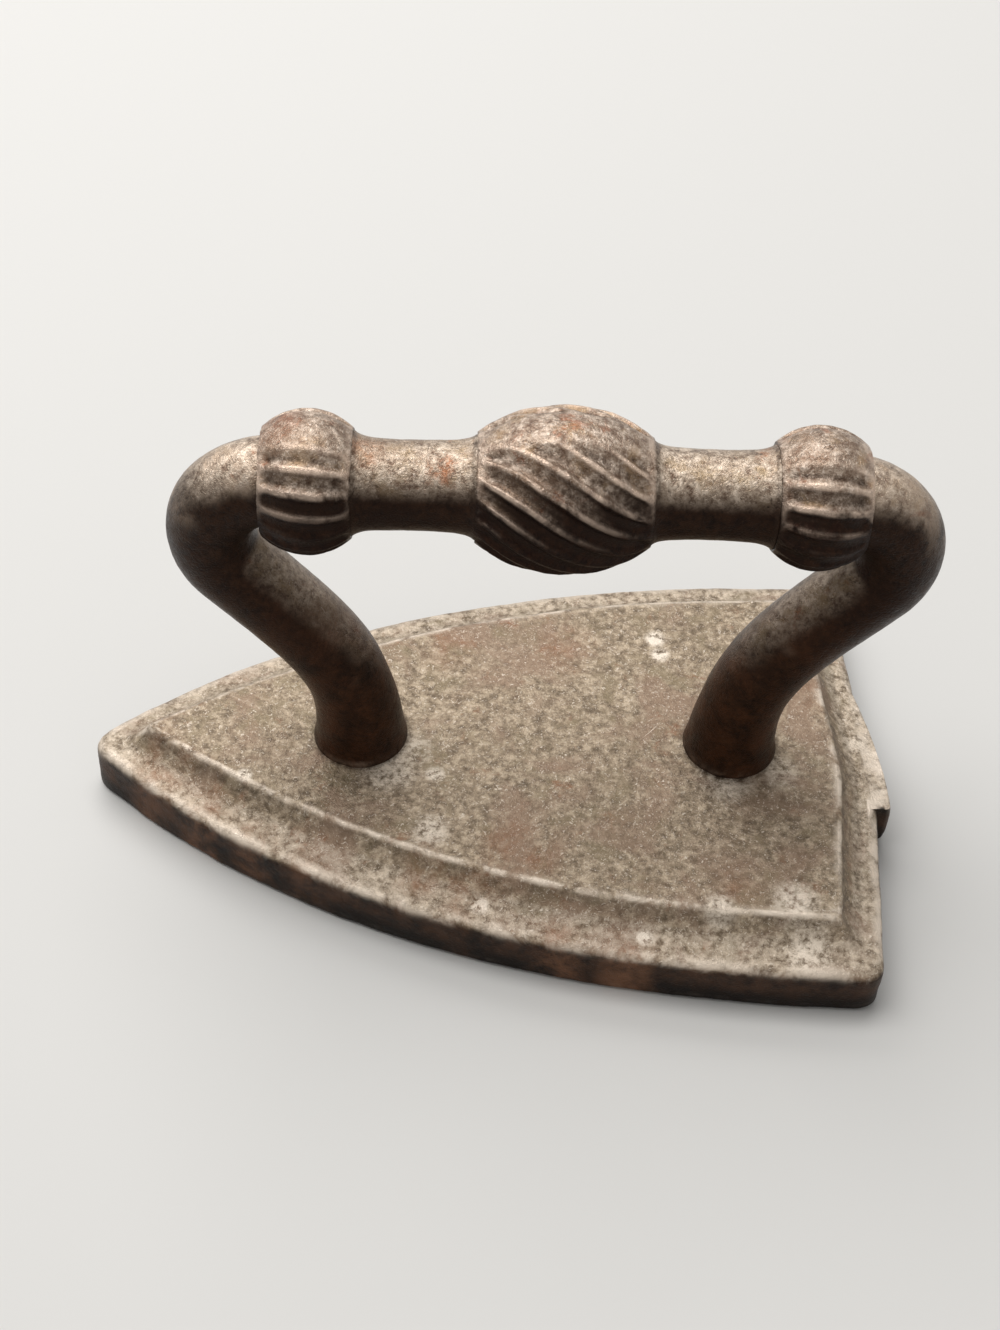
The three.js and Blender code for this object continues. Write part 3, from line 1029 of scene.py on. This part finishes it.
    def hole(self, end: End) -> bpy.types.Object:
        """Cutter for a post's countersunk hole.

        Args:
            end: which end's post it is for.

        Returns:
            The cutter.
        """
        x, margin = Handle().foot(end), self.cutter_margin
        flare = (self.hole_mouth - self.hole_radius) / self.hole_sink
        profile = (
            (self.hole_mouth + flare * margin, -margin),
            (self.hole_radius, self.hole_sink),
            (self.hole_radius, box_mm(self.node)[1][2] + margin),
        )
        turn = np.linspace(0, 2 * math.pi, self.hole_sides, endpoint=False)
        rings = [raised(np.column_stack([x + r * np.cos(turn), r * np.sin(turn)]), z) for r, z in profile]
        return self.new_object(np.concatenate(rings), [], tube_faces(len(rings), self.hole_sides, True))

    def build(self) -> bpy.types.Object:
        """Builds the plate with its stub joined on and the posts' holes cut through.

        Returns:
            The plate's object.
        """
        plate = self.body()
        self.freeze(plate)
        self.cut(plate, [(self.stub(), "UNION")])
        self.roughen(plate)
        self.cut(plate, [(self.hole(end), "DIFFERENCE") for end in End])
        self.close_rims(plate)
        self.smooth(plate)
        return plate

    def cut(self, plate: bpy.types.Object, others: list[tuple[bpy.types.Object, str]]) -> None:
        """Joins other bodies to the plate or cuts them out of it.

        Args:
            plate: the plate.
            others: each body with the Boolean operation that it is used for.
        """
        for other, operation in others:
            self.freeze(other)
            step = plate.modifiers.new(operation.lower(), "BOOLEAN")
            step.operation, step.object, step.solver = operation, other, "MANIFOLD"
        self.freeze(plate)
        for other, _ in others:
            bpy.data.objects.remove(other)

    def close_rims(self, plate: bpy.types.Object) -> None:
        """Splits the plate into triangles, without the pairs that would lie back to back along a hole's rim.

        Args:
            plate: the plate.
        """
        form = bmesh.new()
        form.from_mesh(plate.data)
        bmesh.ops.triangulate(form, faces=form.faces)
        form.verts.index_update()
        alike = {}
        for face in form.faces:
            alike.setdefault(frozenset(corner.index for corner in face.verts), []).append(face)
        pairs = [face for same in alike.values() if len(same) > 1 for face in same]
        bmesh.ops.delete(form, geom=pairs, context="FACES")
        form.to_mesh(plate.data)
        form.free()


@dataclass
class Rod(CastPiece):
    """A piece swept round along a path in the iron's middle plane."""

    rod: ShapeTree | None = None
    sides: int = 56

    def sweep(self, path: np.ndarray, radii: np.ndarray) -> bpy.types.Object:
        """Sweeps the rod.

        Args:
            path: rows of x, z.
            radii: the radius at each point.

        Returns:
            The rod as a plain mesh with its cast skin.
        """
        points = np.column_stack([path[:, 0], np.zeros(len(path)), path[:, 1]])
        piece = self.new_object(points, [(i, i + 1) for i in range(len(path) - 1)], [])
        values = (np.asarray(radii) * MM).astype(np.float32)
        piece.data.attributes.new("rod_radius", "FLOAT", "POINT").data.foreach_set("value", values)
        self.rod.put_on(piece, {"Sides": self.sides, "Material": self.finish})
        self.freeze(piece)
        self.roughen(piece)
        return piece


@dataclass
class Post(Rod):
    """A bent post: out of its end knop, round the bend, inward, and down to a foot with a peened tenon."""

    # Thresholds this low pale the upper outer side of each bend: painted highlight, with some wear.
    rub_and_highlight_from: float = 0.115
    rub_and_highlight_full: float = 0.19
    rub_and_highlight_width: int = 6
    end: End = End.FRONT
    handle: Handle = Handle()
    start: float = 26.55
    knop_end: float = 31.1
    bend_inset: float = 1.2
    bend_radius: float = 7.0
    lean: float = 40.0
    ease_share: float = 0.44
    radius: float = 4.7
    neck_swell: float = 0.15
    neck_run: tuple[float, float] = (2.0, 8.0)
    foot_swell: float = 0.5
    foot_run: float = 10.0
    foot_flare: float = 0.4
    flare_run: float = 3.0
    foot_dust: float = 0.55
    dust_below: tuple[float, float] = (0.6, 2.4)
    shaft_rust: float = 0.2
    rust_below: tuple[float, float] = (16.0, 42.0)
    foot_lift: float = 0.1
    foot_sunk: float = 0.35
    tenon_radius: float = 3.2
    head_radius: float = 4.4
    head_height: float = 1.6
    recess: float = 0.3

    def stained(self, points: np.ndarray) -> np.ndarray:
        """How rusty each point is: the shaft, more so towards the foot."""
        return self.shaft_rust * (1 - ease(*self.rust_below, points[:, 2]))

    def dusted(self, points: np.ndarray) -> np.ndarray:
        """How much pale scale lies at each point: a little, round the foot."""
        above = points[:, 2] - box_mm("sole_plate")[1][2]
        return self.foot_dust * (1 - ease(*self.dust_below, above))

    def line(self, panel: float) -> np.ndarray:
        """Centre line above the panel, outward from the handle's middle.

        Args:
            panel: the panel's height.

        Returns:
            Rows of distance outward and height, from the knop to the foot.
        """
        height, lean = self.handle.height(), math.radians(self.lean)
        bend = self.knop_end - self.bend_inset
        low = height - self.bend_radius
        turn = np.linspace(math.pi / 2, -lean, 44, endpoint=False)
        arc = self.bend_radius * np.column_stack([np.cos(turn), np.sin(turn)])
        slope = (bend + self.bend_radius * math.cos(lean), low - self.bend_radius * math.sin(lean))
        foot = (self.handle.foot_spacing / 2, panel)
        pull = self.ease_share * math.hypot(slope[0] - foot[0], slope[1] - foot[1])
        inward = (slope[0] - pull * math.sin(lean), slope[1] - pull * math.cos(lean))
        return np.concatenate(
            [
                bezier([(self.start, height), (bend, height)], 8),
                arc + [bend, low],
                bezier([slope, inward, (foot[0], foot[1] + pull), foot], 70),
                [foot],
            ]
        )

    def build(self) -> bpy.types.Object:
        """Builds the post from its socket to its peened tenon.

        Returns:
            The post's object.
        """
        panel = box_mm("sole_plate")[1][2]
        path = self.line(panel + self.foot_lift)
        run = np.concatenate([[0], np.cumsum(np.hypot(*np.diff(path, axis=0).T))])
        left = run[-1] - run
        flare = np.clip(1 - left / self.flare_run, 0, 1)
        radii = self.radius + self.neck_swell * (1 - ease(*self.neck_run, run))
        radii += self.foot_swell * (1 - ease(0, self.foot_run, left)) + self.foot_flare * flare**2
        head = self.recess + self.head_height
        x = path[-1, 0]
        base = panel - self.foot_sunk
        tenon = [(base, radii[-1]), (base - SHOULDER, self.tenon_radius), (head, self.tenon_radius)]
        tenon.append((self.recess, self.head_radius))
        path = np.concatenate([path, [(x, z) for z, _ in tenon]])
        radii = np.concatenate([radii, [r for _, r in tenon]])
        path[:, 0] = self.handle.middle() + self.end.value * path[:, 0]
        return self.sweep(path, radii)


@dataclass
class GripBar(Rod):
    """The round grip: slightly waisted between the knops, with a spigot at each end."""

    handle: Handle = Handle()
    half_length: float = 26.25
    spigot_radius: float = 2.6
    waist: float = 0.25
    waist_from: float = 9.1
    waist_to: float = 21.7
    fillet: float = 0.7
    fillet_run: float = 2.2
    points: int = 260

    def build(self) -> bpy.types.Object:
        """Builds the bar with its waists and spigots.

        Returns:
            The bar's object.
        """
        low, high = box_mm(self.node)
        radius, middle, height = (high[2] - low[2]) / 2, self.handle.middle(), self.handle.height()
        stations = np.linspace(-self.half_length, self.half_length, self.points)
        reach = np.abs(stations)
        share = np.clip((reach - self.waist_from) / (self.waist_to - self.waist_from), 0, 1)
        radii = radius - self.waist * np.sin(math.pi * share)
        from_knop = np.minimum(np.abs(reach - self.waist_from), np.abs(reach - self.waist_to))
        near = 1 - np.clip(from_knop / self.fillet_run, 0, 1)
        radii += self.fillet * (1 - np.sqrt(1 - near**2))
        tip = (high[0] - low[0]) / 2
        step = self.half_length + SHOULDER
        stations = np.concatenate([[-tip, -step], stations, [step, tip]])
        radii = np.concatenate([[self.spigot_radius] * 2, radii, [self.spigot_radius] * 2])
        return self.sweep(np.column_stack([middle + stations, np.full(len(stations), height)]), radii)


@dataclass
class FlutedKnop(CastPiece):
    """A fluted knop on the bar: hollow flutes round its sides, plain along its top and bottom."""

    fine_depth: float = 0.09
    # Broad pale on the ball's top and the flutes' crests: partly wear, partly painted highlight.
    rub_and_highlight_from: float = 0.10
    rub_and_highlight_full: float = 0.6
    rub_and_highlight_width: int = 18
    # Dark in the flutes: partly dirt, partly painted shade.
    grime_and_shade_from: float = 0.02
    grime_and_shade_full: float = 0.30
    shape: ShapeTree | None = None
    handle: Handle = Handle()
    radius: float = 8.85
    end_radius: float = 5.75
    overlap: float = 0.05
    flutes: int = 18
    flute_depth: float = 0.62
    flute_slant: float = 33.0
    run_out: float = 1.6
    plain_band: float = 17.0
    fade_band: float = 14.0
    bore: float = 4.9
    columns: int = 288
    rows: int = 76
    ball_share: float = 0.75

    def facing(self, points: np.ndarray, normals: np.ndarray) -> np.ndarray:
        """How far the knop faces up at each point, mostly by its ball and less by its flutes.

        Args:
            points: rows of x, y, z.
            normals: the surface's directions there.

        Returns:
            From -1, down, to 1, up.
        """
        rise = points[:, 2] - self.handle.height()
        ball = rise / np.maximum(np.hypot(points[:, 1], rise), 1e-6)
        return self.ball_share * ball + (1 - self.ball_share) * normals[:, 2]

    def build(self) -> bpy.types.Object:
        """Builds the knop where its solid is.

        Returns:
            The knop's object.
        """
        low, high = box_mm(self.node)
        piece = self.new_object(np.zeros((1, 3)), [], [])
        values = {
            "Radius": self.radius * MM,
            "End Radius": self.end_radius * MM,
            "Bore Radius": self.bore * MM,
            "Half Length": ((high[0] - low[0]) / 2 + self.overlap) * MM,
            "Flutes": self.flutes,
            "Flute Depth": self.flute_depth * MM,
            "Flute Twist": math.tan(math.radians(self.flute_slant)) / (self.radius * MM),
            "Run Out": self.run_out * MM,
            "Plain From": math.cos(math.radians(self.plain_band)),
            "Fluted From": math.cos(math.radians(self.plain_band + self.fade_band)),
            "Middle": (low[0] + high[0]) / 2 * MM,
            "Height": self.handle.height() * MM,
            "Columns": self.columns,
            "Rows": self.rows,
            "Material": self.finish,
        }
        self.shape.put_on(piece, values)
        self.freeze(piece)
        self.roughen(piece)
        return piece


# Studio


@dataclass
class Studio:
    """Pale floor, one large soft lamp above and behind, an even fill, and the camera."""

    floor_half: float = 2.5
    floor_drop: float = 1e-4
    lamp_place: tuple[float, float, float] = (-0.26, 0.34, 0.78)
    lamp_size: tuple[float, float] = (1.0, 0.85)
    lamp_power: float = 8.8
    lamp_aim: tuple[float, float, float] = (0.0, 0.0, 0.02)
    fill: float = 0.28
    backdrop: str = "#f1f0ed"
    camera_place: tuple[float, float, float] = (-3.2855, -154.5751, 185.7567)
    yaw: float = -0.0238
    pitch: float = 0.8153
    roll: float = -0.0484
    focal_pixels: float = 2000.0
    sensor: float = 36.0
    clip: tuple[float, float] = (0.005, 20.0)

    def lay_floor(self) -> None:
        """Lays the floor under the sole."""
        corners = self.floor_half * np.array([(-1, -1), (1, -1), (1, 1), (-1, 1)])
        mesh = bpy.data.meshes.new("floor")
        mesh.from_pydata(raised(corners, -self.floor_drop).tolist(), [], [(0, 1, 2, 3)])
        floor = bpy.data.objects.new("floor", mesh)
        mesh.materials.append(FloorCard().material())
        bpy.context.scene.collection.objects.link(floor)

    def hang_lamp(self) -> None:
        """Hangs the soft lamp, aimed at the iron."""
        lamp = bpy.data.lights.new("soft_lamp", "AREA")
        lamp.shape = "RECTANGLE"
        lamp.size, lamp.size_y = self.lamp_size
        lamp.energy = self.lamp_power
        hung = bpy.data.objects.new("soft_lamp", lamp)
        place = Vector(self.lamp_place)
        hung.location = place
        hung.rotation_euler = (Vector(self.lamp_aim) - place).to_track_quat("-Z", "Y").to_euler()
        bpy.context.scene.collection.objects.link(hung)

    def fill_room(self) -> None:
        """Sets the even fill, and the pale backdrop that the camera and the metal see."""
        world = bpy.data.worlds.new("pale_room")
        world.use_nodes = True
        tree = world.node_tree
        tree.nodes.clear()
        add = partial(add_node, tree)
        even = add("ShaderNodeBackground", None, {"Color": (1, 1, 1, 1), "Strength": self.fill})
        seen = add("ShaderNodeBackground", None, {"Color": linear(self.backdrop), "Strength": 1.0})
        rays = add("ShaderNodeLightPath").outputs
        chosen = rays["Is Camera Ray"]
        for name in ("Is Glossy Ray", "Is Transmission Ray"):
            either = {0: chosen, 1: rays[name]}
            chosen = add("ShaderNodeMath", {"operation": "MAXIMUM"}, either).outputs[0]
        choice = {0: chosen, 1: even.outputs[0], 2: seen.outputs[0]}
        both = add("ShaderNodeMixShader", None, choice)
        add("ShaderNodeOutputWorld", None, {"Surface": both.outputs[0]})
        bpy.context.scene.world = world

    def set_camera(self) -> None:
        """Sets the camera at the photograph's place and angle."""
        flat = math.cos(self.pitch)
        ahead = Vector((-math.sin(self.yaw) * flat, math.cos(self.yaw) * flat, -math.sin(self.pitch)))
        level = Vector((math.cos(self.yaw), math.sin(self.yaw), 0))
        down = ahead.cross(level)
        right = math.cos(self.roll) * level + math.sin(self.roll) * down
        low = -math.sin(self.roll) * level + math.cos(self.roll) * down
        lens = bpy.data.cameras.new("camera")
        lens.sensor_width = self.sensor
        lens.lens = self.focal_pixels / IMAGE_HEIGHT * self.sensor
        lens.clip_start, lens.clip_end = self.clip
        camera = bpy.data.objects.new("camera", lens)
        turn = Matrix((right, -low, -ahead)).transposed().to_4x4()
        camera.matrix_world = Matrix.Translation(Vector(self.camera_place) * MM) @ turn
        bpy.context.scene.collection.objects.link(camera)
        bpy.context.scene.camera = camera

    def build(self) -> None:
        """Sets up the whole studio."""
        bpy.context.scene.view_settings.view_transform = "Standard"
        self.lay_floor()
        self.hang_lamp()
        self.fill_room()
        self.set_camera()


# The whole iron


# Rust blooms of the grip and its front knop, and rust blooms and pale scars of the plate.
# Each has its x and y, its radius and its strength.
BAR_RUST = ((-14.8, 0.0, 2.6, 1.0),)
KNOP_RUST = ((-23.6, 1.5, 3.2, 0.8),)
PLATE_RUST = (
    (3.2, -16.6, 5.0, 1.0), (-5.5, 13.8, 4.0, 0.6), (9.2, 14.5, 4.5, 0.7),
    (27.6, -20.6, 3.0, 0.8), (-2.2, -21.7, 3.4, 1.0), (-7.8, -18.9, 3.2, 0.9),
    (7.8, -27.6, 3.5, 1.0), (15.0, -28.9, 4.0, 1.0), (-27.3, -14.8, 3.5, 0.8),
    (-38.5, -4.5, 4.5, 0.9), (-33.0, -10.5, 3.8, 0.9), (-21.0, -18.6, 3.5, 0.6),
    (38.5, 8.0, 3.5, 0.5),
)
PLATE_SCARS = (
    (19.7, 16.8, 1.3, 1.6), (20.2, 14.2, 1.2, 1.6), (17.1, -26.0, 1.0, 2.2),
    (-6.9, -14.2, 2.4, 0.8), (-6.6, -6.1, 1.2, 1.2), (-28.4, -7.0, 0.9, 2.0),
    (33.5, -22.6, 3.0, 0.9), (25.2, -23.6, 2.0, 0.9), (35.0, -27.7, 3.2, 0.9),
    (-1.1, -22.4, 1.2, 1.8), (43.4, 3.0, 2.0, 0.7), (27.0, -5.5, 3.6, 0.7),
    (-12.0, -5.5, 3.6, 0.7), (-9.2, -2.5, 2.6, 0.6), (33.0, -4.0, 2.8, 0.5),
)

# Which pieces each piece touches, where dirt and painted shade gather.
JOINED = {
    "sole_plate": ("front_post", "rear_post"),
    "front_post": ("sole_plate", "front_knop"),
    "rear_post": ("sole_plate", "rear_knop"),
    "grip_bar": ("centre_knop", "front_knop", "rear_knop"),
    "centre_knop": ("grip_bar",),
    "front_knop": ("grip_bar", "front_post"),
    "rear_knop": ("grip_bar", "rear_post"),
}


def make_pieces() -> list[CastPiece]:
    """Lists the iron's pieces, from the sole up.

    Returns:
        The pieces, not built yet.
    """
    skin, rod, knop = skin_tree(), rod_tree(), knop_tree()
    plate, handle, fluted = PLATE_FINISH.material(), HANDLE_FINISH.material(), KNOP_FINISH.material()
    centre_knop = {"shape": knop, "overlap": 0.55, "plain_band": 12.0, "fade_band": 12.0}
    end_knop = {"shape": knop, "radius": 7.65, "flute_depth": 0.45, "flute_slant": 5.0}
    end_knop |= {"rows": 52, "run_out": 1.2}
    return [
        SolePlate("sole_plate", Slot.PLATE, plate, skin, 1.0, rust_blooms=PLATE_RUST, pale_scars=PLATE_SCARS),
        Post("front_post", Slot.HANDLE, handle, skin, 2.0, rod=rod, end=End.FRONT),
        Post("rear_post", Slot.HANDLE, handle, skin, 3.0, rod=rod, end=End.REAR, bend_inset=2.05),
        GripBar("grip_bar", Slot.HANDLE, handle, skin, 4.0, rod=rod, rust_blooms=BAR_RUST),
        FlutedKnop("centre_knop", Slot.KNOP, fluted, skin, 5.0, **centre_knop),
        FlutedKnop("front_knop", Slot.KNOP, fluted, skin, 6.0, rust_blooms=KNOP_RUST, **end_knop),
        FlutedKnop("rear_knop", Slot.KNOP, fluted, skin, 7.0, **end_knop),
    ]


def main() -> None:
    """Builds the studio and the iron, piece by piece."""
    logging.basicConfig(level=logging.INFO, format="%(name)s: %(message)s")
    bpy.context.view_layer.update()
    Studio().build()
    made = {piece.node: (piece, piece.build()) for piece in make_pieces()}
    graph = bpy.context.evaluated_depsgraph_get()
    trees = {node: BVHTree.FromObject(shown, graph) for node, (_, shown) in made.items()}
    for node, (piece, shown) in made.items():
        piece.age(shown, [trees[other] for other in JOINED[node]])
        piece.dress(shown)
        shown.data.calc_loop_triangles()
        log.info("%s: %d triangles", shown.name, len(shown.data.loop_triangles))


if __name__ == "__main__":
    main()
